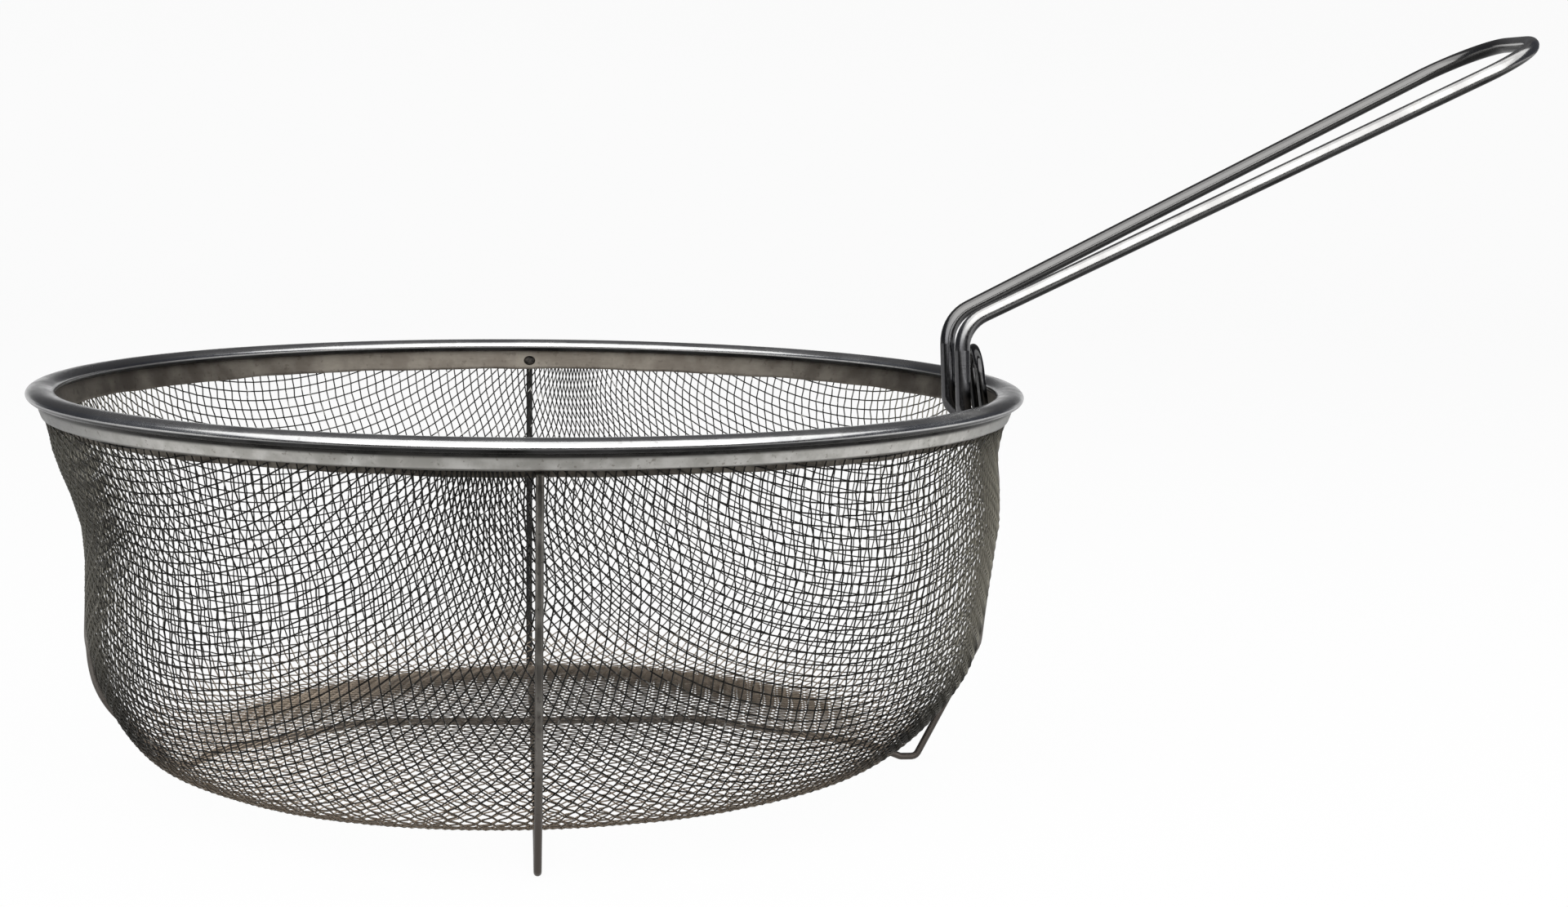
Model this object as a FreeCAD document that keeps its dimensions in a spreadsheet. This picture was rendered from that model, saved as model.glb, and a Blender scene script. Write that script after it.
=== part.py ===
import FreeCAD, Part
import Sketcher
import math
import os
from FreeCAD import Placement, Rotation, Vector

# Round wire frying basket with a long loop handle
# Millimetres, +Z up; the origin is on the basket's axis, in the plane its four feet stand on
# The handle reaches out along +X


# Driving dimensions, one cell each
SIZES = {
    # rim band: one strip rolled into a hollow bead and folded into two leaves
    "rimDiameter": 330.0,
    "beadDiameter": 4.9,
    "sheetThickness": 0.5,
    "leafSlope": 18.0,
    "innerLeafDepth": 11.4,
    "outerLeafDepth": 9.6,
    # wire cloth: depths are below the top of the bead, insets are in from the rim's outside
    "clothThickness": 1.1,
    "clothClearance": 0.05,
    "clothEdgeGap": 0.7,
    "neckRun": 1.0,
    "waistInset": 13.8,
    "waistDepth": 52.0,
    "cornerInset": 15.1,
    "cornerDrop": 15.0,
    "cornerRadius": 44.0,
    "floorDepth": 116.0,
    "flatRadius": 58.0,
    # the weave is drawn as a lattice of bars with one gap in each field
    "columns": 24,
    "wallRows": 4,
    "floorRows": 2,
    "barWidth": 2.6,
    "hubRadius": 8.0,
    # leg wires: they stand this far below the corner where wall and floor would meet
    "standOff": 2.2,
    "legWire": 2.4,
    "legClearance": 0.2,
    "legSpread": 1.85,
    "waistBend": 120.0,
    "leaveBend": 22.0,
    "footInset": 31.6,
    "footFlat": 5.4,
    "footBend": 2.5,
    "footRise": 11.0,
    "riseBend": 10.0,
    # handle
    "handleWire": 5.2,
    "handleInset": 21.6,
    "handleSpacing": 28.6,
    "handleKneeHeight": 20.4,
    "handleKneeBend": 13.0,
    "handleAngle": 26.6,
    "handleLength": 218.0,
    "gripWidth": 70.0,
    "gripBend": 24.0,
    "rodLean": 1.5,
    "rodKickRise": 7.5,
    "rodSeatDepth": 16.5,
    "rodSeatRun": 5.5,
    "rodBend": 5.2,
    # hanger loop
    "hangerWire": 3.2,
    "hangerSideGap": 2.6,
    "hangerRise": 13.0,
    "hangerFootDepth": 18.0,
    "hangerLean": 8.0,
    # what is welded to a face is drawn this far off it
    "seatClearance": 0.15,
}

doc = FreeCAD.newDocument("basket")
sheet = doc.addObject("Spreadsheet::Sheet", "sizes")
for row, (name, value) in enumerate(SIZES.items(), start=1):
    sheet.set("A%d" % row, name)
    sheet.set("B%d" % row, str(value))
    sheet.setAlias("B%d" % row, name)
doc.recompute()


def size(name):
    return float(sheet.get(name))


def slopeOf(name):
    return math.tan(math.radians(size(name)))


# The rim stands as high as bowl and feet make it
RIM_HEIGHT = "(sizes.floorDepth + sizes.cornerDrop + sizes.standOff)"
rimHeight = size("floorDepth") + size("cornerDrop") + size("standOff")
rimRadius = size("rimDiameter") / 2


# Rim band: body with three turned sections

def newBody(name):
    body = doc.addObject("PartDesign::Body", name)
    body.Label = name
    return body


def originPlane(body, role):
    return [plane for plane in body.Origin.OriginFeatures if plane.Role == role][0]


def newSketch(body, name):
    sketch = body.newObject("Sketcher::SketchObject", name)
    sketch.AttachmentSupport = [(originPlane(body, "XZ_Plane"), "")]
    sketch.MapMode = "FlatFace"
    return sketch


def bind(sketch, kind, element, point, expression):
    # a measure from the sketch origin: DistanceX is the radius, DistanceY the height
    index = sketch.addConstraint(Sketcher.Constraint(kind, -1, 1, element, point, 10.0))
    sketch.setExpression("Constraints[%d]" % index, expression)


def addPolygon(sketch, corners):
    count = len(corners)
    rough = [Vector(10 + 5 * math.cos(k), 10 + 5 * math.sin(k), 0) for k in range(count)]
    first = sketch.GeometryCount
    for k in range(count):
        sketch.addGeometry(Part.LineSegment(rough[k], rough[(k + 1) % count]), False)
    for k in range(count):
        following = first + (k + 1) % count
        sketch.addConstraint(Sketcher.Constraint("Coincident", first + k, 2, following, 1))
    for k, (radius, height) in enumerate(corners):
        bind(sketch, "DistanceX", first + k, 1, radius)
        bind(sketch, "DistanceY", first + k, 1, height)


def turn(body, sketch, name):
    feature = body.newObject("PartDesign::Revolution", name)
    feature.Profile = sketch
    feature.ReferenceAxis = (sketch, ["V_Axis"])
    feature.Angle = 360
    return feature


# Radius of the middle of a leaf at a depth below the bead's top, as an expression
INNER_MIDDLE = ("(sizes.rimDiameter / 2 - sizes.beadDiameter + sizes.sheetThickness / 2"
                " - (%s - sizes.beadDiameter / 2) * tan(sizes.leafSlope * 1 deg))")
LEAF_STEP = ("(sizes.clothThickness + 2 * sizes.clothClearance + sizes.sheetThickness)"
             " / cos(sizes.leafSlope * 1 deg)")
LEAF_HALF = "sizes.sheetThickness / 2 / cos(sizes.leafSlope * 1 deg)"


def leafCorners(step, topDepth, bottomDepth):
    corners = []
    for depth, side in ((topDepth, "-"), (topDepth, "+"), (bottomDepth, "+"), (bottomDepth, "-")):
        middle = INNER_MIDDLE % depth
        corners.append(("%s + %s %s %s" % (middle, step, side, LEAF_HALF),
                        "%s - %s" % (RIM_HEIGHT, depth)))
    return corners


rimBand = newBody("rim_band")
beadSketch = newSketch(rimBand, "beadSection")
for wall in ("0", "sizes.sheetThickness"):
    ring = beadSketch.addGeometry(Part.Circle(Vector(20, 20, 0), Vector(0, 0, 1), 2), False)
    bind(beadSketch, "DistanceX", ring, 3, "sizes.rimDiameter / 2 - sizes.beadDiameter / 2")
    bind(beadSketch, "DistanceY", ring, 3, RIM_HEIGHT + " - sizes.beadDiameter / 2")
    reach = beadSketch.addConstraint(Sketcher.Constraint("Radius", ring, 2.0))
    beadSketch.setExpression("Constraints[%d]" % reach, "sizes.beadDiameter / 2 - %s" % wall)
turn(rimBand, beadSketch, "bead")
innerSketch = newSketch(rimBand, "innerLeafSection")
addPolygon(innerSketch, leafCorners("0", "sizes.beadDiameter / 2", "sizes.innerLeafDepth"))
turn(rimBand, innerSketch, "innerLeaf")
outerSketch = newSketch(rimBand, "outerLeafSection")
outerTop = "(sizes.beadDiameter - sizes.sheetThickness)"
addPolygon(outerSketch, leafCorners(LEAF_STEP, outerTop, "sizes.outerLeafDepth"))
turn(rimBand, outerSketch, "outerLeaf")


# Paths: straight runs joined by tangent arcs

def roundedPath(points, radii):
    edges = []
    start = points[0]
    for before, corner, after, radius in zip(points, points[1:], points[2:], radii):
        if radius == 0:
            edges.append(Part.makeLine(start, corner))
            start = corner
            continue
        inward = (before - corner).normalize()
        outward = (after - corner).normalize()
        half = inward.getAngle(outward) / 2
        reach = radius / math.tan(half)
        arcStart = corner + inward * reach
        arcEnd = corner + outward * reach
        toMiddle = (inward + outward).normalize() * (radius / math.sin(half) - radius)
        if (arcStart - start).Length > 1e-6:
            edges.append(Part.makeLine(start, arcStart))
        edges.append(Part.Arc(arcStart, corner + toMiddle, arcEnd).toShape())
        start = arcEnd
    if (points[-1] - start).Length > 1e-6:
        edges.append(Part.makeLine(start, points[-1]))
    return Part.Wire(edges)


def onSection(radius, depth):
    # a point of the basket's section, at a depth below the bead's top
    return Vector(radius, 0, rimHeight - depth)


def between(start, end, depth):
    # the point of a straight run, or of its extension, at a depth
    share = (start.z - (rimHeight - depth)) / (start.z - end.z)
    return start + (end - start) * share


def meeting(start, direction, lineStart, lineEnd):
    # where a ray in the section's plane meets a line
    line = lineEnd - lineStart
    across = Vector(-line.z, 0, line.x)
    return start + direction * ((lineStart - start).dot(across) / direction.dot(across))


def parallel(corners, distance):
    # the same run of straight pieces, moved sideways; outwards is positive
    moved = []
    last = len(corners) - 1
    for k, corner in enumerate(corners):
        into = (corner - corners[k - 1] if k > 0 else corners[1] - corner).normalize()
        onward = (corners[k + 1] - corner if k < last else into).normalize()
        across = Vector(-into.z - onward.z, 0, into.x + onward.x).normalize()
        squeeze = across.dot(Vector(-into.z, 0, into.x))
        moved.append(corner + across * (distance / squeeze))
    return moved


# Wire cloth: the middle line of its section, from the clamped edge to the axis

def clothRadius(depth):
    # the cloth lies between the leaves, a clearance off each
    inner = rimRadius - size("beadDiameter") + size("sheetThickness") / 2
    inner -= (depth - size("beadDiameter") / 2) * slopeOf("leafSlope")
    across = (size("sheetThickness") + size("clothThickness")) / 2 + size("clothClearance")
    return inner + across / math.cos(math.radians(size("leafSlope")))


edgeDepth = size("beadDiameter") + size("clothEdgeGap")
neckDepth = max(size("innerLeafDepth"), size("outerLeafDepth")) + size("neckRun")
CLOTH = [
    onSection(clothRadius(edgeDepth), edgeDepth),
    onSection(clothRadius(neckDepth), neckDepth),
    onSection(rimRadius - size("waistInset"), size("waistDepth")),
    onSection(rimRadius - size("cornerInset"), size("floorDepth") + size("cornerDrop")),
    onSection(size("flatRadius"), size("floorDepth")),
    onSection(0, size("floorDepth")),
]


def clothSection():
    return roundedPath(CLOTH, [0, 0, size("cornerRadius"), 0])


def strip(path, thickness):
    return Part.Face(path.makeOffset2D(thickness / 2, join=2, fill=False, openResult=False))


def halfStrip(path, thickness):
    # the strip without what the offset adds beyond the axis
    face = strip(path, thickness)
    reach = size("rimDiameter")
    return face.common(Part.makeBox(reach, 2, 3 * reach, Vector(0, -1, -reach))).Faces[0]


def gapPrism(near, far, nearSpan, farSpan, turnAngle):
    # a four-sided hole square to the wall; near and far are its ends along the section
    along = (far - near).normalize()
    across = Vector(-along.z, 0, along.x)
    shrink = along * (size("barWidth") / 2)
    corners = []
    for end, span, side in ((near + shrink, nearSpan, -1), (near + shrink, nearSpan, 1),
                            (far - shrink, farSpan, 1), (far - shrink, farSpan, -1)):
        corners.append(end + Vector(0, side * span / 2, 0))
    depth = (far - near).Length / 3
    face = Part.Face(Part.makePolygon(corners + corners[:1]))
    face.translate(across * -depth)
    prism = face.extrude(across * (2 * depth))
    prism.rotate(Vector(), Vector(0, 0, 1), turnAngle)
    return prism


def gapRows(stations, columns):
    # one ring of gaps between each station and the next
    gaps = []
    step = 360.0 / columns
    for near, far in zip(stations, stations[1:]):
        wide = 2 * math.sin(math.radians(step / 2))
        spans = [max(point.x * wide - size("barWidth"), size("barWidth") / 2)
                 for point in (near, far)]
        for column in range(columns):
            gaps.append(gapPrism(near, far, *spans, (column + 0.5) * step))
    return gaps


def clothShape():
    section = clothSection()
    fine = section.discretize(Number=int(section.Length) + 1)

    def stations(start, end, rows):
        marks = [start + (end - start) * k / rows for k in range(rows + 1)]
        spacing = section.Length / (len(fine) - 1)
        return [fine[min(round(mark / spacing), len(fine) - 1)] for mark in marks]

    # the cloth stays closed down to where handle and hanger loop are welded on
    first = size("rodSeatDepth") + size("rodSeatRun") + size("barWidth") - edgeDepth
    flat = section.Length - size("flatRadius")
    last = section.Length - size("hubRadius")
    wallRows = int(size("wallRows"))
    floorRows = int(size("floorRows"))
    columns = int(size("columns"))
    gaps = gapRows(stations(first, flat, wallRows), columns)
    gaps += gapRows(stations(flat, last, floorRows), columns // 2)
    bowl = halfStrip(section, size("clothThickness")).revolve(Vector(), Vector(0, 0, 1), 360)
    return bowl.cut(gaps).Solids[0]


meshBowl = doc.addObject("Part::Feature", "mesh_bowl")
meshBowl.Label = "mesh_bowl"
meshBowl.Shape = clothShape()


# Wires: a round section swept along a path

def addWire(name, path, diameterName):
    spine = doc.addObject("Part::Feature", name + "Path")
    spine.Shape = path
    start = path.OrderedEdges[0]
    direction = start.tangentAt(start.FirstParameter)
    circle = doc.addObject("Part::Circle", name + "Section")
    circle.setExpression("Radius", "sizes.%s / 2" % diameterName)
    circle.Placement = Placement(start.valueAt(start.FirstParameter),
                                 Rotation(Vector(0, 0, 1), direction))
    sweep = doc.addObject("Part::Sweep", name)
    sweep.Label = name
    sweep.Sections = [circle]
    sweep.Spine = (spine, [])
    sweep.Solid = True
    sweep.Frenet = False
    return sweep


# Leg wires: under the outer leaf, down the wall, round two feet and across under the bowl

def cornerMiddle():
    # centre of the arc that rounds the cloth's corner
    upward = (CLOTH[2] - CLOTH[3]).normalize()
    inward = (CLOTH[4] - CLOTH[3]).normalize()
    half = upward.getAngle(inward) / 2
    return CLOTH[3] + (upward + inward).normalize() * (size("cornerRadius") / math.sin(half))


def slantTo(foot, reach):
    # direction from a foot up past the corner, a reach away from the arc's centre
    toMiddle = cornerMiddle() - foot
    turn = math.asin(reach / toMiddle.Length)
    return Rotation(Vector(0, 1, 0), math.degrees(turn)).multVec(toMiddle).normalize()


def legPoints(crossDrop):
    off = size("clothThickness") / 2 + size("legWire") / 2 + size("legClearance")
    edge, neck, waist, corner, flat, middle = parallel(CLOTH, off)
    tilt = math.sin(math.radians(size("leafSlope")))
    topDepth = size("outerLeafDepth") + size("legClearance") + tilt * size("legWire") / 2
    footDepth = rimHeight - size("legWire") / 2
    footRadius = rimRadius - size("footInset")
    heel = onSection(footRadius, footDepth)
    toe = onSection(footRadius - size("footFlat"), footDepth)
    slant = slantTo(heel, size("cornerRadius") + off + size("legSpread"))
    rise = meeting(toe - Vector(size("footRise"), 0, 0), Vector(0, 0, 1), corner, flat)
    half = [
        between(edge, neck, topDepth),
        neck,
        waist,
        meeting(heel, slant, waist, corner),
        heel,
        toe,
        rise,
        flat - Vector(0, 0, crossDrop),
    ]
    return half + [Vector(-point.x, 0, point.z) for point in reversed(half)]


def legPath(crossDrop):
    half = [size(name) for name in ("legWire", "waistBend", "leaveBend", "footBend", "footBend",
                                    "riseBend", "flatRadius")]
    return roundedPath(legPoints(crossDrop), half + half[::-1])


legSide = addWire("leg_wire_side", legPath(0), "legWire")
frontPath = legPath(size("legWire") + size("legClearance"))
frontPath.rotate(Vector(), Vector(0, 0, 1), 90)
legFront = addWire("leg_wire_front", frontPath, "legWire")


# Handle: two rods welded inside the cloth, over the rim and out to a rounded end

def seatAgainstCloth(depth, halfSpacing, wire):
    # middle of a wire that lies against the inside of the wall, beside the plane y = 0
    off = size("clothThickness") / 2 + wire / 2 + size("seatClearance")
    neck, waist = parallel(CLOTH, -off)[1:3]
    radius = between(neck, waist, depth).x
    return Vector(math.sqrt(radius ** 2 - halfSpacing ** 2), halfSpacing, rimHeight - depth)


def handlePath():
    half = size("handleSpacing") / 2
    wire = size("handleWire")
    reach = rimRadius - size("handleInset")
    seatDepth = size("rodSeatDepth")
    knee = Vector(reach, half, rimHeight + size("handleKneeHeight"))
    angle = math.radians(size("handleAngle"))
    grip = Vector(math.cos(angle), 0, math.sin(angle)) * size("handleLength")
    side = [
        seatAgainstCloth(seatDepth + size("rodSeatRun"), half, wire),
        seatAgainstCloth(seatDepth, half, wire),
        Vector(reach + size("rodLean"), half, rimHeight - seatDepth + size("rodKickRise")),
        knee,
        knee + grip + Vector(0, size("gripWidth") / 2 - half, 0),
    ]
    other = [Vector(point.x, -point.y, point.z) for point in reversed(side)]
    radii = [size("rodBend"), size("rodBend"), size("handleKneeBend"), size("gripBend")]
    return roundedPath(side + other, radii + radii[::-1])


handle = addWire("handle", handlePath(), "handleWire")


# Hanger loop: an upright arch between the rods, its feet against the cloth

def hangerPath():
    wire = size("hangerWire")
    half = (size("handleSpacing") - size("handleWire") - wire) / 2 - size("hangerSideGap")
    foot = seatAgainstCloth(size("hangerFootDepth"), half, wire)
    crownHeight = size("hangerRise") - wire / 2
    height = crownHeight + size("hangerFootDepth")
    crown = foot + Vector(-height * slopeOf("hangerLean"), 0, height)
    corners = [foot, crown]
    corners += [Vector(point.x, -point.y, point.z) for point in reversed(corners)]
    return roundedPath(corners, [half, half])


hanger = addWire("hanger_loop", hangerPath(), "hangerWire")


# Check every object, then write each piece
doc.recompute()
for item in doc.Objects:
    if "Invalid" in item.State or "Error" in item.State:
        raise RuntimeError("%s did not compute: %s" % (item.Name, item.State))
pieces = [rimBand, meshBowl, legSide, legFront, handle, hanger]
os.makedirs("parts", exist_ok=True)
for piece in pieces:
    shape = piece.Shape
    if shape.isNull() or not shape.isValid() or len(shape.Solids) != 1:
        raise RuntimeError("%s is not one valid solid" % piece.Label)
    shape.exportStep("parts/%s.step" % piece.Label)
    box = shape.BoundBox
    print("%-15s %9.1f mm3  x %.1f..%.1f  y %.1f..%.1f  z %.1f..%.1f" % (
        piece.Label, shape.Volume, box.XMin, box.XMax, box.YMin, box.YMax, box.ZMin, box.ZMax))
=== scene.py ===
import math

import bpy
import numpy as np
from mathutils import Matrix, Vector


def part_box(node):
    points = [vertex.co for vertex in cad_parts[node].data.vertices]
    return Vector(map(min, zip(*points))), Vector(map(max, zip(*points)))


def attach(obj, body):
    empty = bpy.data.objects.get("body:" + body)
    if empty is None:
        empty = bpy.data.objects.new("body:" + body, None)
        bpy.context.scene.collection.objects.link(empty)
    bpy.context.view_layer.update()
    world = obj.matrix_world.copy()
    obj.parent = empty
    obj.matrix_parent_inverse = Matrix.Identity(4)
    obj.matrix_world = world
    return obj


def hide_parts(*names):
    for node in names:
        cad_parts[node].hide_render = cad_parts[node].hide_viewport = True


# Frying basket: woven wire cloth, plated rim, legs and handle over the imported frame
# Metres, +Z up, origin on the bowl's axis in the plane of the feet, handle along +X

mm = 0.001

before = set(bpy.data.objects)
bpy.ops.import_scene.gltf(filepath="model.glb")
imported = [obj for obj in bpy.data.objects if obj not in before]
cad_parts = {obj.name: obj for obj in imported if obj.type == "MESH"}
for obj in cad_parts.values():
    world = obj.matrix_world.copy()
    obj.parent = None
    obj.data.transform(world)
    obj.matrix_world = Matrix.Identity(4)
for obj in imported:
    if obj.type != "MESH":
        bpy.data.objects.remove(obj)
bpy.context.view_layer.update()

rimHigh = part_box("rim_band")[1]
rimTop = rimHigh.z
rimRadius = rimHigh.x


# Shader sockets that can be added and multiplied

class Tint:
    def __init__(self, tree, socket):
        self.tree = tree
        self.socket = socket

    def maths(self, operation, *values):
        return self.tree.add("ShaderNodeMath", {"operation": operation}, values)

    def __add__(self, other):
        return self.maths("ADD", self, other)

    def __mul__(self, other):
        return self.maths("MULTIPLY", self, other)

    def __rsub__(self, other):
        return self.maths("SUBTRACT", other, self)

    __radd__ = __add__
    __rmul__ = __mul__

    def smooth(self, low, high):
        settings = {"interpolation_type": "SMOOTHSTEP"}
        return self.tree.add("ShaderNodeMapRange", settings, {"Value": self, "From Min": low, "From Max": high})


class Tree:
    def __init__(self, holder):
        holder.use_nodes = True
        self.nodes = holder.node_tree.nodes
        self.links = holder.node_tree.links
        self.nodes.clear()

    def add(self, kind, settings=None, values=(), output=0):
        node = self.nodes.new(kind)
        for name, value in (settings or {}).items():
            setattr(node, name, value)
        pairs = values.items() if isinstance(values, dict) else enumerate(values)
        for key, value in pairs:
            if isinstance(value, Tint):
                self.links.new(value.socket, node.inputs[key])
            else:
                node.inputs[key].default_value = value
        return Tint(self, node.outputs[output])

    def mix(self, factor, first, second):
        return self.add("ShaderNodeMix", {"data_type": "RGBA"}, {0: factor, 6: first, 7: second}, 2)

    def noise(self, place, scale, detail=3.0, roughness=0.55):
        values = {"Vector": place, "Scale": scale, "Detail": detail, "Roughness": roughness}
        return self.add("ShaderNodeTexNoise", None, values)

    def finish(self, shader, kind="ShaderNodeOutputMaterial"):
        output = self.nodes.new(kind)
        self.links.new(shader.socket, output.inputs["Surface"])


def rgb(red, green, blue):
    return (red, green, blue, 1.0)


# a painted shade zone this dark also takes most of the polish away, so that it stays dark
paintedShade = {"darkerThan": 0.035, "dulls": 0.92}


def metal(name, look):
    # plated steel: cloudy colour, drawn streaks along one direction, a little bump
    material = bpy.data.materials.new(name)
    tree = Tree(material)
    place = tree.add("ShaderNodeTexCoord", None, {}, "Object")
    cloud = tree.noise(place, look["cloudScale"], 4.0).smooth(0.35, 0.68)
    streakPlace = tree.add("ShaderNodeVectorMath", {"operation": "MULTIPLY"}, [place, look["streak"]])
    streak = tree.noise(streakPlace, 1.0, 3.0, 0.6)
    colour = tree.mix(cloud, look["dark"], look["light"])
    # flecks of a second tone: stains on most of the metals, painted glints on the cloth and hanger wires
    fleck = tree.noise(place, look["fleckScale"], 2.0).smooth(0.6, 0.72) * look["fleck"]
    colour = tree.mix(fleck, colour, look["stainAndGlint"])
    shine = 1.0
    # zones of painted light and shade: a tone that comes in between two values of a coordinate, or of the
    # surface's slope
    for source, axis, start, end, tone in look.get("zones", ()):
        vector = place if source == "place" else tree.add("ShaderNodeNewGeometry", None, {}, "Normal")
        value = tree.add("ShaderNodeSeparateXYZ", None, {"Vector": vector}, axis)
        share = value.smooth(start, end) if start < end else 1 - value.smooth(end, start)
        colour = tree.mix(share * (0.94 + cloud * 0.06), colour, tone)
        if tone[0] < paintedShade["darkerThan"]:
            shine = shine * (1 - share * paintedShade["dulls"])
    roughness = look["roughness"] + streak * look["roughSpread"] + cloud * look["roughSpread"] * 0.5
    bump = tree.add("ShaderNodeBump", None, {
        "Strength": look["bump"], "Distance": look["bumpDepth"], "Height": streak + cloud * 0.4})
    shader = tree.add("ShaderNodeBsdfPrincipled", None, {
        "Base Color": colour, "Metallic": shine * look["metallic"], "Specular IOR Level": shine * 0.5,
        "Roughness": roughness, "Normal": bump})
    tree.finish(shader)
    return material


# Small helpers for meshes

def meshPiece(name, vertices, faces, material, slotName, *nodes):
    mesh = bpy.data.meshes.new(name)
    mesh.from_pydata([tuple(point) for point in vertices], [], faces)
    mesh.shade_smooth()
    piece = bpy.data.objects.new(name, mesh)
    bpy.context.scene.collection.objects.link(piece)
    mesh.materials.append(material)
    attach(piece, "root")
    if nodes:
        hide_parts(*nodes)


def unit(vectors):
    vectors = np.asarray(vectors, float)
    return vectors / np.linalg.norm(vectors, axis=-1, keepdims=True)


def tube(points, radius, sides, lead):
    # a round tube along points; lead sets where its first side looks
    points = np.asarray(points, float)
    along = unit(np.gradient(points, axis=0))
    turns = np.arange(sides) * 2 * math.pi / sides
    across = np.cross(along[0], lead)
    rings = []
    for point, direction in zip(points, along):
        across = unit(across - direction * across.dot(direction))
        up = np.cross(across, direction)
        rings.append(point + radius * (np.outer(np.cos(turns), across) + np.outer(np.sin(turns), up)))
    faces = []
    for k in range(len(points) - 1):
        near, far = k * sides, (k + 1) * sides
        for j in range(sides):
            onward = (j + 1) % sides
            faces.append((near + j, far + j, far + onward, near + onward))
    last = (len(points) - 1) * sides
    faces.append(tuple(range(sides)))
    faces.append(tuple(last + j for j in reversed(range(sides))))
    return np.concatenate(rings), faces


def joinParts(parts):
    vertices = []
    faces = []
    start = 0
    for points, quads in parts:
        vertices.append(points)
        faces += [tuple(start + k for k in quad) for quad in quads]
        start += len(points)
    return np.concatenate(vertices), faces


def rounded(points, radii, step):
    # straight runs with round corners, as points about a step apart
    points = [np.asarray(point, float) for point in points]
    path = [points[0]]

    def straightTo(end):
        run = end - path[-1]
        count = max(1, int(np.linalg.norm(run) / step))
        start = path[-1]
        path.extend(start + run * k / count for k in range(1, count + 1))

    for before, corner, after, radius in zip(points, points[1:], points[2:], radii):
        inward, onward = unit(before - corner), unit(after - corner)
        half = math.acos(np.clip(inward.dot(onward), -1, 1)) / 2
        if radius == 0 or math.pi / 2 - half < 1e-4:
            straightTo(corner)
            continue
        reach = radius / math.tan(half)
        straightTo(corner + inward * reach)
        middle = corner + unit(inward + onward) * radius / math.sin(half)
        first = path[-1] - middle
        turn = math.pi - 2 * half
        side = unit(-inward - first * (-inward).dot(first) / first.dot(first)) * radius
        count = max(3, int(radius * turn / step))
        path.extend(middle + first * math.cos(turn * k / count) + side * math.sin(turn * k / count)
                    for k in range(1, count + 1))
    straightTo(points[-1])
    return np.array(path)


# Wire cloth: the bowl's section, from the middle of the floor up to the clamped edge

clothShape = {
    # radius and depth below the rim's top, in mm
    "section": [(0, 115.7), (20, 115.8), (42, 116.0), (60, 116.6), (78, 119.2), (92, 121.6), (104, 123.6),
                (113, 124.8), (120, 124.3), (127, 121.6), (132.7, 117), (137.6, 111), (141.3, 105), (144.3, 99),
                (146.7, 93), (148.5, 87), (149.6, 81), (150.5, 72), (151.0, 63), (151.6, 54), (152.8, 45),
                (154.2, 36), (155.5, 27), (156.8, 19), (158.2, 12), (160.3, 5.8), (163.4, -3), (166.6, -12)],
    "clampDepth": 5.8,
    "pitch": 3.53,
    "turn": -6,
    "wire": 0.5,
    "crimp": 0.23,
    "sides": 5,
    "lead": (0.3, 0.2, 0.9),
    # the knots are guessed in the plane up to flatReach; a cut end shorter than shortEnd of a pitch is left off
    "flatReach": 55,
    "rounds": 12,
    "nudge": 0.1,
    "shortEnd": 0.1,
}


def clothSection():
    # radius and height against distance along the section, in metres
    marks = np.array(clothShape["section"], float)
    marks = np.column_stack([marks[:, 0] * mm, rimTop - marks[:, 1] * mm])
    for _ in range(4):
        # cut the corners off, keeping both ends
        near, far = marks[:-1] * 0.75 + marks[1:] * 0.25, marks[:-1] * 0.25 + marks[1:] * 0.75
        marks = np.vstack([marks[:1], np.stack([near, far], 1).reshape(-1, 2), marks[-1:]])
    steps = np.linalg.norm(np.diff(marks, axis=0), axis=1)
    return np.concatenate([[0], np.cumsum(steps)]), marks[:, 0], marks[:, 1]


reachLine, radiusLine, heightLine = clothSection()
clampHeight = rimTop - clothShape["clampDepth"] * mm


def onCloth(reach, angle):
    radius = np.interp(reach, reachLine, radiusLine)
    return np.array([radius * np.cos(angle), radius * np.sin(angle), np.interp(reach, reachLine, heightLine)])


def drapeQuarter(count, pitch):
    # a net of equal wires laid over the bowl from its middle: each knot is one pitch from its two neighbours
    half = math.pi / 4
    limit = reachLine[-1]
    nudge = clothShape["nudge"] * mm
    quarter = np.zeros((count + 1, count + 1, 2))
    for k in range(count + 1):
        quarter[k, 0] = (k * pitch, -half)
        quarter[0, k] = (k * pitch, half)
    for i in range(1, count + 1):
        for j in range(1, i + 1):
            left, right, behind = (onCloth(*quarter[at]) for at in ((i - 1, j), (i, j - 1), (i - 1, j - 1)))
            guess = left + right - behind
            angle = math.atan2(guess[1], guess[0])
            reach = min(quarter[i - 1, j, 0] + quarter[i, j - 1, 0] - quarter[i - 1, j - 1, 0], limit)
            if reach < clothShape["flatReach"] * mm:
                reach = math.hypot(guess[0], guess[1])
            for _ in range(clothShape["rounds"]):
                here = onCloth(reach, angle)
                slope = (onCloth(reach + nudge, angle) - here) / nudge
                sideways = np.array([-here[1], here[0], 0.0])
                miss = np.array([(here - left).dot(here - left), (here - right).dot(here - right)]) - pitch ** 2
                grid = 2 * np.array([[(here - left).dot(slope), (here - left).dot(sideways)],
                                     [(here - right).dot(slope), (here - right).dot(sideways)]])
                if np.abs(miss).max() < 1e-10 or abs(np.linalg.det(grid)) < 1e-12:
                    break
                change = np.clip(np.linalg.solve(grid, miss), [-2 * mm, -0.02], [2 * mm, 0.02])
                reach, angle = min(max(reach - change[0], 0), limit), angle - change[1]
            quarter[i, j] = (reach, angle)
            quarter[j, i] = (reach, -angle)
    return quarter


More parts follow.
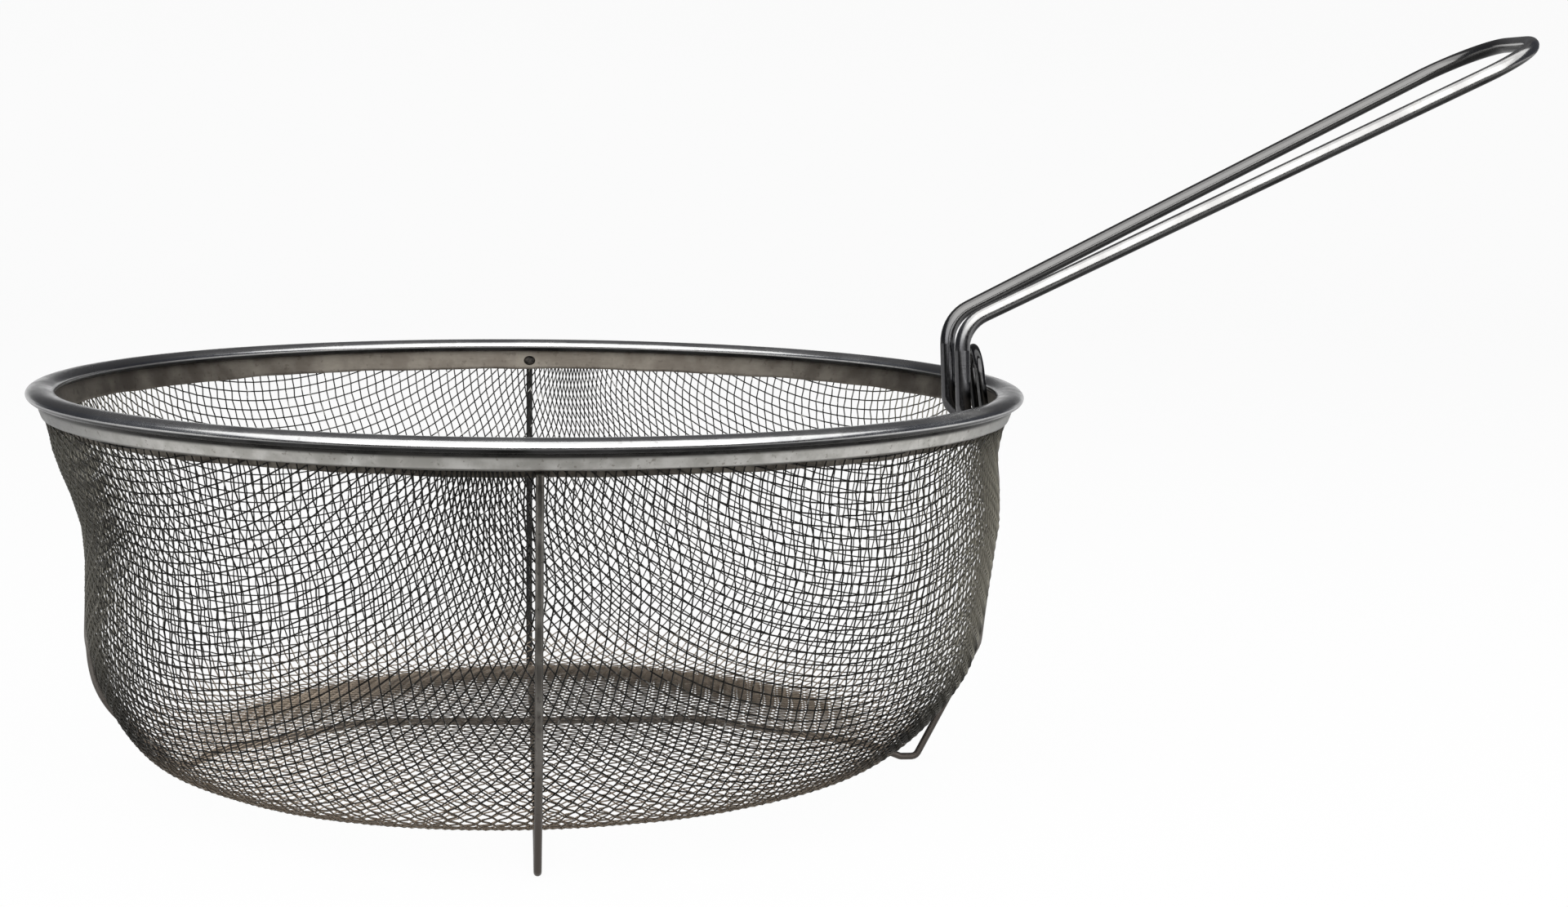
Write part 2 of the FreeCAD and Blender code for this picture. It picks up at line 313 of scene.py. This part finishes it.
def drape():
    # the quarter net turned round the axis to fill the bowl
    pitch = clothShape["pitch"] * mm
    count = int(clothEdge / pitch) + 3
    quarter = drapeQuarter(count, pitch)
    net = np.zeros((2 * count + 1, 2 * count + 1, 2))
    for i in range(-count, count + 1):
        for j in range(-count, count + 1):
            if i >= 0 and j >= 0:
                turn, knot = 0, quarter[i, j]
            elif j >= 0:
                turn, knot = 1, quarter[j, -i]
            elif i < 0:
                turn, knot = 2, quarter[-i, -j]
            else:
                turn, knot = 3, quarter[-j, i]
            net[i + count, j + count] = knot + np.array([0, turn * math.pi / 2 + math.radians(clothShape["turn"])])
    return net, count


# Materials

beadMetal = metal("plated bead", {
    "dark": rgb(0.54, 0.54, 0.54), "light": rgb(0.66, 0.66, 0.65), "stainAndGlint": rgb(0.36, 0.35, 0.33),
    "metallic": 1.0, "cloudScale": 60.0, "streak": (900, 900, 3500), "fleckScale": 350.0, "fleck": 0.35,
    "roughness": 0.12, "roughSpread": 0.14, "bump": 0.05, "bumpDepth": 0.0002,
    # painted shade: darker at the left and right ends, and black along the underside in the crevice over the
    # leaves
    "zones": [("place", "X", 0.118, 0.158, rgb(0.17, 0.17, 0.175)),
              ("place", "X", -0.10, -0.152, rgb(0.19, 0.19, 0.195)),
              ("place", "Z", rimTop - 0.0024, rimTop - 0.0031, rgb(0.008, 0.008, 0.008))]})
leafMetal = metal("clamp sheet", {
    "dark": rgb(0.42, 0.41, 0.38), "light": rgb(0.62, 0.61, 0.58), "stainAndGlint": rgb(0.26, 0.24, 0.21),
    "metallic": 0.55, "cloudScale": 150.0, "streak": (260, 260, 2600), "fleckScale": 700.0, "fleck": 0.75,
    "roughness": 0.36, "roughSpread": 0.2, "bump": 0.12, "bumpDepth": 0.0003,
    # painted shade: black just under the bead, darker along the lower edge, and darker at the left and right ends
    "zones": [("place", "Z", rimTop - 0.0064, rimTop - 0.0052, rgb(0.02, 0.019, 0.018)),
              ("place", "Z", rimTop - 0.0087, rimTop - 0.0093, rgb(0.10, 0.095, 0.085)),
              ("place", "X", -0.10, -0.158, rgb(0.16, 0.16, 0.155)),
              ("place", "X", 0.12, 0.162, rgb(0.16, 0.16, 0.155))]})
# a darker copy of the clamp sheet: painted shade for the inner leaf inside the bowl
innerMetal = metal("clamp sheet inside", {
    "dark": rgb(0.12, 0.105, 0.088), "light": rgb(0.22, 0.20, 0.17), "stainAndGlint": rgb(0.06, 0.05, 0.04),
    "metallic": 0.9, "cloudScale": 70.0, "streak": (240, 240, 1400), "fleckScale": 420.0, "fleck": 0.4,
    "roughness": 0.42, "roughSpread": 0.2, "bump": 0.12, "bumpDepth": 0.0003})
clothMetal = metal("cloth wire", {
    # the light flecks on this dark wire are painted glints
    "dark": rgb(0.012, 0.012, 0.011), "light": rgb(0.05, 0.048, 0.044), "stainAndGlint": rgb(0.5, 0.49, 0.46),
    "metallic": 1.0, "cloudScale": 260.0, "streak": (1200, 1200, 1200), "fleckScale": 420.0, "fleck": 0.85,
    "roughness": 0.24, "roughSpread": 0.2, "bump": 0.0, "bumpDepth": 0.0001,
    # painted light and shade: lighter towards the left and right edges, the floor of the bowl lighter and browner
    # than its wall as if lit from above, and the wires' undersides dark
    "zones": [("place", "X", 0.115, 0.15, rgb(0.27, 0.255, 0.21)),
              ("place", "X", -0.12, -0.15, rgb(0.20, 0.19, 0.16)),
              ("place", "Z", 0.026, 0.008, rgb(0.50, 0.41, 0.32)),
              ("slope", "Z", 0.05, -0.35, rgb(0.02, 0.019, 0.017))]})
legMetal = metal("leg wire", {
    "dark": rgb(0.15, 0.14, 0.125), "light": rgb(0.34, 0.325, 0.30), "stainAndGlint": rgb(0.07, 0.062, 0.055),
    "metallic": 1.0, "cloudScale": 70.0, "streak": (2500, 2500, 160), "fleckScale": 600.0, "fleck": 0.6,
    "roughness": 0.24, "roughSpread": 0.2, "bump": 0.1, "bumpDepth": 0.0002,
    # painted shade: darker towards the feet under the bowl, and the leg behind the bowl near black
    "zones": [("place", "Z", 0.075, 0.012, rgb(0.065, 0.056, 0.05)),
              ("place", "Y", 0.05, 0.15, rgb(0.03, 0.03, 0.03))]})
weldMetal = metal("spot weld", {
    "dark": rgb(0.01, 0.01, 0.01), "light": rgb(0.05, 0.045, 0.04), "stainAndGlint": rgb(0.12, 0.10, 0.08),
    "metallic": 1.0, "cloudScale": 500.0, "streak": (900, 900, 900), "fleckScale": 900.0, "fleck": 0.4,
    "roughness": 0.35, "roughSpread": 0.2, "bump": 0.2, "bumpDepth": 0.0002})
handleMetal = metal("handle wire", {
    "dark": rgb(0.34, 0.335, 0.33), "light": rgb(0.50, 0.50, 0.49), "stainAndGlint": rgb(0.28, 0.265, 0.25),
    "metallic": 1.0, "cloudScale": 55.0, "streak": (120, 1800, 1800), "fleckScale": 420.0, "fleck": 0.3,
    "roughness": 0.10, "roughSpread": 0.12, "bump": 0.05, "bumpDepth": 0.0002,
    # painted shade: the far rod darker, the undersides near black, and the rods darker low down by the rim
    "zones": [("place", "Y", -0.002, 0.014, rgb(0.15, 0.148, 0.145)),
              ("slope", "Z", 0.0, -0.5, rgb(0.015, 0.015, 0.015)),
              ("place", "Z", 0.158, 0.146, rgb(0.11, 0.11, 0.115))]})
# a dark wire: painted shade, with light flecks that are painted glints
hangerMetal = metal("hanger wire", {
    "dark": rgb(0.035, 0.035, 0.035), "light": rgb(0.12, 0.12, 0.12), "stainAndGlint": rgb(0.4, 0.4, 0.38),
    "metallic": 1.0, "cloudScale": 80.0, "streak": (1600, 1600, 200), "fleckScale": 500.0, "fleck": 0.3,
    "roughness": 0.08, "roughSpread": 0.1, "bump": 0.05, "bumpDepth": 0.0002})


# Cloth wires: one tube along each wire of the net

dents = {
    # mm below the rim's top, and the shift along +X there
    "depths": [0, 20, 27, 34, 45, 57, 75, 93, 108, 117, 140],
    "shifts": [0, 0, 1.2, 3.0, 5.0, 4.9, 3.7, 2.6, 0.6, 0, 0],
    # size, turns, phase, length; they fade in below waveTop and out above waveBottom
    "waves": [(0.35, 5, 0.4, 23), (0.3, 8, 2.1, -31), (0.25, 13, 4.0, 17)],
    "waveTop": 26, "waveRise": 20, "waveBottom": 133, "waveFall": 12,
    "stillAtLegs": 0.02,
    # the floor is raised, a little more to the right
    "liftTop": 92, "liftRise": 26, "lift": 1.7, "liftTilt": 0.012,
}


def dented(points):
    # the bowl is pushed in on the left and bellied out under the handle, with soft waves
    points = np.array(points, float)
    depth = (rimTop - points[:, 2]) / mm
    around = np.arctan2(points[:, 1], points[:, 0])
    shift = np.interp(depth, dents["depths"], dents["shifts"])
    away = (np.clip((depth - dents["waveTop"]) / dents["waveRise"], 0, 1)
            * np.clip((dents["waveBottom"] - depth) / dents["waveFall"], 0, 1))
    wave = sum(size * np.sin(turns * around + phase + depth / length)
               for size, turns, phase, length in dents["waves"])
    free = 1 - np.exp(-((np.abs(np.sin(around)) - 1) / dents["stillAtLegs"]) ** 2)
    lift = (np.clip((depth - dents["liftTop"]) / dents["liftRise"], 0, 1)
            * (dents["lift"] + dents["liftTilt"] * points[:, 0] / mm))
    points[:, 2] += lift * mm
    points[:, 0] += shift * mm
    radial = wave * away * free * mm
    points[:, 0] += radial * np.cos(around)
    points[:, 1] += radial * np.sin(around)
    return points


def cutEnd(knot, onward):
    # where a wire meets the clamp, between its last knot inside and the next one
    reach, angle, over = knot
    share = (clothEdge - reach) / max(onward[0] - reach, 1e-6)
    if share <= clothShape["shortEnd"]:
        return []
    turnBy = (onward[1] - angle + math.pi) % (2 * math.pi) - math.pi
    return [(clothEdge, angle + share * turnBy, over * (1 - 2 * share))]


def weave(net, count, material):
    crimp = clothShape["crimp"] * mm
    wire = clothShape["wire"] * mm / 2
    slopeRadius = np.gradient(radiusLine, reachLine)
    slopeHeight = np.gradient(heightLine, reachLine)

    def onWire(reach, angle, over):
        radius = np.interp(reach, reachLine, radiusLine)
        height = np.interp(reach, reachLine, heightLine)
        along = np.interp(reach, reachLine, slopeRadius)
        upward = np.interp(reach, reachLine, slopeHeight)
        length = np.hypot(along, upward)
        radius = radius + over * crimp * upward / length
        height = height - over * crimp * along / length
        return np.stack([radius * np.cos(angle), radius * np.sin(angle), height], axis=-1)

    steps = range(-count, count + 1)
    for name, swap in (("cloth_warp", False), ("cloth_weft", True)):
        parts = []
        for j in steps:
            row = net[:, j + count] if not swap else net[j + count]
            inside = np.flatnonzero(row[:, 0] < clothEdge)
            if len(inside) < 2:
                continue
            first, last = inside[0], inside[-1]
            if len(inside) < last - first + 1:
                print("gap in wire", name, j)
            wires = list(range(first, last + 1))
            over = np.array([1.0 if (k + j) % 2 == int(swap) else -1.0 for k in wires])
            knots = np.column_stack([row[wires], over])
            before = cutEnd(knots[0], row[first - 1]) if first > 0 else []
            after = cutEnd(knots[-1], row[last + 1]) if last < 2 * count else []
            reach, angle, over = np.array(before + list(knots) + after).T
            path = dented(onWire(reach, angle, over))
            parts.append(tube(path, wire, clothShape["sides"], clothShape["lead"]))
        vertices, faces = joinParts(parts)
        meshPiece(name, vertices, faces, material, "cloth", "mesh_bowl")
        print(name, len(parts), "wires", len(faces), "faces")


print("cloth")
wall = heightLine > rimTop / 2
clothEdge = float(np.interp(clampHeight, heightLine[wall], reachLine[wall]))
net, count = drape()
weave(net, count, clothMetal)


# Rim: oval bead over the two leaves that clamp the cloth

rimShape = {
    "turns": 480,
    "beadHalfWidth": 4.6,
    "beadHalfHeight": 2.36,
    "beadSides": 36,
    "leafSlope": 18,
    "sheet": 0.5,
    "innerFrom": 3.6, "innerTo": 11.4,
    "outerFrom": 4.2, "outerTo": 9.3,
    "gap": 1.787,
    # middle of the inner leaf at one depth, and how far its rounded lower edge stands out
    "leafRadius": 160.35, "leafDepth": 2.45, "tip": 0.16, "bulge": 0.12,
    # size, turns, phase of the leaves' ripple, which grows from rippleTop down
    "ripples": [(0.10, 9, 1), (0.07, 23, 0), (0.05, 41, 2)],
    "rippleTop": 5, "rippleRise": 5, "rippleOut": 0.8, "rippleUp": 1.2,
}


def ring(sections, turns, wobble):
    # a closed section swept round the axis; wobble(angle, radius, height) moves a point a little
    vertices = []
    for k in range(turns):
        angle = 2 * math.pi * k / turns
        for radius, height in sections:
            r, z = wobble(angle, radius, height)
            vertices.append((r * math.cos(angle), r * math.sin(angle), z))
    size = len(sections)
    faces = []
    for k in range(turns):
        near, far = k * size, (k + 1) % turns * size
        for j in range(size):
            onward = (j + 1) % size
            faces.append((near + j, far + j, far + onward, near + onward))
    return np.array(vertices), faces


def leafSectionAt(offset, fromDepth, toDepth, bulge):
    # a strip of sheet in section, its lower edge rounded, in metres
    slope = math.tan(math.radians(rimShape["leafSlope"]))
    half = rimShape["sheet"] / 2
    depths = np.linspace(fromDepth, toDepth, 9)
    share = (depths - fromDepth) / (toDepth - fromDepth)
    middle = rimShape["leafRadius"] + offset - (depths - rimShape["leafDepth"]) * slope
    middle = middle + bulge * np.sin(math.pi * share)
    outer = [(r + half, d) for r, d in zip(middle, depths)]
    inner = [(r - half, d) for r, d in zip(middle, depths)][::-1]
    tip = [(middle[-1], depths[-1] + rimShape["tip"])]
    points = outer + tip + inner
    return [(r * mm, rimTop - d * mm) for r, d in points]


def makeRim():
    wide, high = rimShape["beadHalfWidth"] * mm, rimShape["beadHalfHeight"] * mm
    turns = [2 * math.pi * k / rimShape["beadSides"] for k in range(rimShape["beadSides"])]
    oval = [(rimRadius - wide + wide * math.cos(a), rimTop - high + high * math.sin(a)) for a in turns]
    vertices, faces = ring(oval, rimShape["turns"], lambda a, r, z: (r, z))
    meshPiece("rim_bead", vertices, faces, beadMetal, "rim", "rim_band")

    def ripple(angle, radius, height):
        low = max(0, (rimTop - height) / mm - rimShape["rippleTop"]) / rimShape["rippleRise"]
        wave = sum(size * math.sin(turns * angle + phase) for size, turns, phase in rimShape["ripples"])
        out, up = rimShape["rippleOut"] * mm, rimShape["rippleUp"] * mm
        return radius + wave * low * out, height + wave * low * up

    section = leafSectionAt(rimShape["gap"], rimShape["outerFrom"], rimShape["outerTo"], rimShape["bulge"])
    vertices, faces = ring(section, rimShape["turns"], ripple)
    meshPiece("rim_outer_leaf", vertices, faces, leafMetal, "rim", "rim_band")
    section = leafSectionAt(0, rimShape["innerFrom"], rimShape["innerTo"], 0.0)
    vertices, faces = ring(section, rimShape["turns"], ripple)
    meshPiece("rim_inner_leaf", vertices, faces, innerMetal, "rim", "rim_band")


print("rim")
makeRim()


# Legs: one wire across each way; the side one follows the dented wall

legShape = {
    "wire": 2.4,
    "half": [(160.79, 123.03), (159.91, 120.33), (153.15, 81.02), (152.44, 38.16), (133.4, 1.2),
             (128.0, 1.2), (117.0, 5.59), (57.84, 15.25)],
    "bends": [2.4, 120, 22, 2.5, 2.5, 10, 58],
    # the left foot is a guess: tucked in under the bowl
    "left": [(160.79, 123.03), (159.91, 120.33), (153.15, 81.02), (151.9, 44.0), (143.5, 22.0), (128.4, 8.0),
             (121.0, 1.2), (115.5, 1.2), (107.0, 5.9), (57.84, 15.25)],
    "leftBends": [2.4, 120, 22, 30, 8, 2.5, 2.5, 8, 58],
    "sides": 20,
    "step": 1.5,
    # above this height the leg lies against the wall and follows it
    "wallFrom": 30, "wallRise": 12,
}


def sideLeg():
    right = [(x * mm, 0, z * mm) for x, z in legShape["half"]]
    left = [(-x * mm, 0, z * mm) for x, z in legShape["left"]]
    bends = [bend * mm for bend in legShape["bends"] + legShape["leftBends"][::-1]]
    path = rounded(right + left[::-1], bends, legShape["step"] * mm)
    moved = dented(path)
    # only the stretch against the wall follows it
    share = np.clip((path[:, 2] - legShape["wallFrom"] * mm) / (legShape["wallRise"] * mm), 0, 1)[:, None]
    path = path + (moved - path) * share
    vertices, faces = tube(path, legShape["wire"] * mm / 2, legShape["sides"], (0, 1, 0))
    meshPiece("leg_wire_side_bent", vertices, faces, legMetal, "leg", "leg_wire_side")


weldShape = {
    "radius": 158.2, "depth": 8.3,
    "wide": 2.3, "high": 1.9, "proud": 0.9,
    "rings": 5, "sides": 16,
}


def spotWelds():
    # a flat pressed dome on the inner leaf where each leg wire ends
    parts = []
    rings, sides = weldShape["rings"], weldShape["sides"]
    wide, high, proud = (weldShape[name] * mm for name in ("wide", "high", "proud"))
    for angle in (0.0, math.pi / 2, math.pi, 1.5 * math.pi):
        outward = np.array([math.cos(angle), math.sin(angle), 0])
        slope = math.radians(rimShape["leafSlope"])
        facing = unit(-outward * math.cos(slope) + np.array([0, 0, 1]) * math.sin(slope))
        across = np.array([-math.sin(angle), math.cos(angle), 0])
        upward = np.cross(facing, across)
        centre = outward * weldShape["radius"] * mm + np.array([0, 0, rimTop - weldShape["depth"] * mm])
        points = [centre + facing * proud]
        for k in range(1, rings + 1):
            lean = k / rings * math.pi / 2
            for j in range(sides):
                turn = 2 * math.pi * j / sides
                flat = across * math.cos(turn) * wide + upward * math.sin(turn) * high
                points.append(centre + facing * proud * math.cos(lean) + flat * math.sin(lean))
        faces = [(0, 1 + j, 1 + (j + 1) % sides) for j in range(sides)]
        for k in range(rings - 1):
            for j in range(sides):
                near, onward = 1 + k * sides + j, 1 + k * sides + (j + 1) % sides
                faces.append((near, near + sides, onward + sides, onward))
        faces.append(tuple(1 + (rings - 1) * sides + j for j in reversed(range(sides))))
        parts.append((np.array(points), faces))
    vertices, faces = joinParts(parts)
    meshPiece("spot_welds", vertices, faces, weldMetal, "rim")


print("legs")
sideLeg()
spotWelds()
for name, material in (("leg_wire_front", legMetal), ("handle", handleMetal), ("hanger_loop", hangerMetal)):
    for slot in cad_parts[name].material_slots:
        slot.material = material


# Studio: pale floor, a wide soft panel in front, grey overhead, dimmer sides, dark mat nearest the bowl

def plane(name, centre, across, upward, material):
    # a flat card from its middle and its two half sides
    centre, across, upward = (np.array(v, float) for v in (centre, across, upward))
    corners = [centre - across - upward, centre + across - upward,
               centre + across + upward, centre - across + upward]
    mesh = bpy.data.meshes.new(name)
    mesh.from_pydata([tuple(c) for c in corners], [], [(0, 1, 2, 3)])
    card = bpy.data.objects.new(name, mesh)
    bpy.context.scene.collection.objects.link(card)
    mesh.materials.append(material)


def cardMaterial(name, colour, strength):
    # a glowing card with a slow change of tone over it
    material = bpy.data.materials.new(name)
    tree = Tree(material)
    place = tree.add("ShaderNodeTexCoord", None, {}, "Object")
    tone = tree.noise(place, 0.6, 1.0)
    shade = tree.mix(tone, tuple(0.85 * part for part in colour[:3]) + (1.0,), colour)
    glow = tree.add("ShaderNodeEmission", None, {"Color": shade, "Strength": strength})
    tree.finish(glow)
    return material


def seenRays(tree):
    # camera, glossy and transmission rays together
    camera = tree.add("ShaderNodeLightPath", None, {}, "Is Camera Ray")
    outputs = camera.socket.node.outputs
    return camera + Tint(tree, outputs["Is Glossy Ray"]) + Tint(tree, outputs["Is Transmission Ray"])


def floorMaterial():
    material = bpy.data.materials.new("floor")
    tree = Tree(material)
    seen = seenRays(tree)
    place = tree.add("ShaderNodeTexCoord", None, {}, "Object")
    tone = tree.mix(tree.noise(place, 3.0, 2.0), rgb(0.86, 0.86, 0.86), rgb(0.90, 0.90, 0.90))
    plain = tree.add("ShaderNodeBsdfDiffuse", None, {"Color": tone})
    white = tree.add("ShaderNodeEmission", None, {"Color": rgb(1, 1, 1), "Strength": 1.0})
    share = seen * stageShape["floorWhite"]
    tree.finish(tree.add("ShaderNodeMixShader", None, {0: share, 1: plain, 2: white}))
    return material


def worldLight():
    world = bpy.data.worlds.new("studio")
    bpy.context.scene.world = world
    tree = Tree(world)
    seen = seenRays(tree)
    soft = tree.add("ShaderNodeBackground", None, {"Color": rgb(1, 1, 1), "Strength": stageShape["ambient"]})
    white = tree.add("ShaderNodeBackground", None, {"Color": rgb(1, 1, 1), "Strength": 1.0})
    tree.finish(tree.add("ShaderNodeMixShader", None, {0: seen, 1: soft, 2: white}), "ShaderNodeOutputWorld")


stageShape = {
    "ambient": 0.55,
    "floorWhite": 0.95,
    "backdrop": {"half": 6, "front": -6, "back": 3.2, "height": 5, "bend": 1.2, "step": 0.1},
    "panel": {"size": (3.2, 2.25), "at": (0.1, -0.87, 0.70), "radiance": 1.5, "aim": (0.1, -0.25, -0.08)},
    "overhead": {"size": (3.2, 0.34), "at": (0.1, 0.16, 1.40), "radiance": 1.5, "aim": (0.1, 0.161, 0)},
    # name, middle, two half sides, colour, strength
    "cards": [
        ("mat", (0, -0.97, 0.001), (1.5, 0, 0), (0, 0.73, 0), rgb(0.02, 0.02, 0.022), 0.4),
        ("back_card", (0, 2.4, 1.5), (3, 0, 0), (0, 0, 1.05), rgb(0.12, 0.12, 0.125), 1.0),
        ("overhead", (0, 1.1, 2.4), (3.2, 0, 0), (0, 2.1, 0), rgb(0.17, 0.17, 0.175), 1.0),
        ("left_side", (-1.75, 0.3, 1.0), (0, 1.9, 0), (0, 0, 1.4), rgb(0.11, 0.115, 0.13), 1.0),
        ("right_side", (1.9, 0.3, 1.0), (0, 1.9, 0), (0, 0, 1.4), rgb(0.09, 0.095, 0.11), 1.0),
    ],
}


def backdrop():
    # floor that curves up into a wall behind the bowl
    shape = stageShape["backdrop"]
    corners = [(0, shape["front"], 0), (0, shape["back"], 0), (0, shape["back"], shape["height"])]
    profile = rounded(corners, [shape["bend"]], shape["step"])
    vertices = [(side, y, z) for _, y, z in profile for side in (-shape["half"], shape["half"])]
    faces = [(2 * k, 2 * k + 1, 2 * k + 3, 2 * k + 2) for k in range(len(profile) - 1)]
    mesh = bpy.data.meshes.new("backdrop")
    mesh.from_pydata(vertices, [], faces)
    mesh.shade_smooth()
    sweep = bpy.data.objects.new("backdrop", mesh)
    bpy.context.scene.collection.objects.link(sweep)
    mesh.materials.append(floorMaterial())


def areaLamp(name, look):
    data = bpy.data.lights.new(name, "AREA")
    data.shape = "RECTANGLE"
    data.size, data.size_y = look["size"]
    data.energy = look["radiance"] * math.pi * data.size * data.size_y
    lamp = bpy.data.objects.new(name, data)
    bpy.context.scene.collection.objects.link(lamp)
    away = unit(np.array(look["at"]) - np.array(look["aim"]))
    side = unit(np.cross((0, 0, 1), away))
    up = np.cross(away, side)
    lamp.matrix_world = turned(side, up, away, look["at"])


def turned(right, up, back, place):
    return Matrix([[right[k], up[k], back[k], place[k]] for k in range(3)] + [[0, 0, 0, 1]])


print("studio")
backdrop()
for name, centre, across, upward, colour, strength in stageShape["cards"]:
    plane(name, centre, across, upward, cardMaterial(name, colour, strength))
worldLight()
areaLamp("front panel", stageShape["panel"])
areaLamp("overhead panel", stageShape["overhead"])


# Camera: almost level, a little left of the bowl's middle, turned and tipped as in the photograph

view = {"at": (-0.00945, -0.85975, 0.2196), "yaw": 6.297, "pitch": 7.350, "roll": 0.873, "lens": 58.4}


def placeCamera():
    yaw, pitch, roll = (math.radians(view[name]) for name in ("yaw", "pitch", "roll"))
    forward = np.array([math.sin(yaw) * math.cos(pitch), math.cos(yaw) * math.cos(pitch), -math.sin(pitch)])
    level = np.array([math.cos(yaw), -math.sin(yaw), 0.0])
    upright = np.cross(level, forward)
    right = level * math.cos(roll) + upright * math.sin(roll)
    up = upright * math.cos(roll) - level * math.sin(roll)
    data = bpy.data.cameras.new("camera")
    data.lens = view["lens"]
    data.sensor_width = 36
    data.clip_start = 0.01
    camera = bpy.data.objects.new("camera", data)
    bpy.context.scene.collection.objects.link(camera)
    camera.matrix_world = turned(right, up, -forward, view["at"])
    bpy.context.scene.camera = camera


placeCamera()
bpy.context.scene.view_settings.view_transform = "Standard"
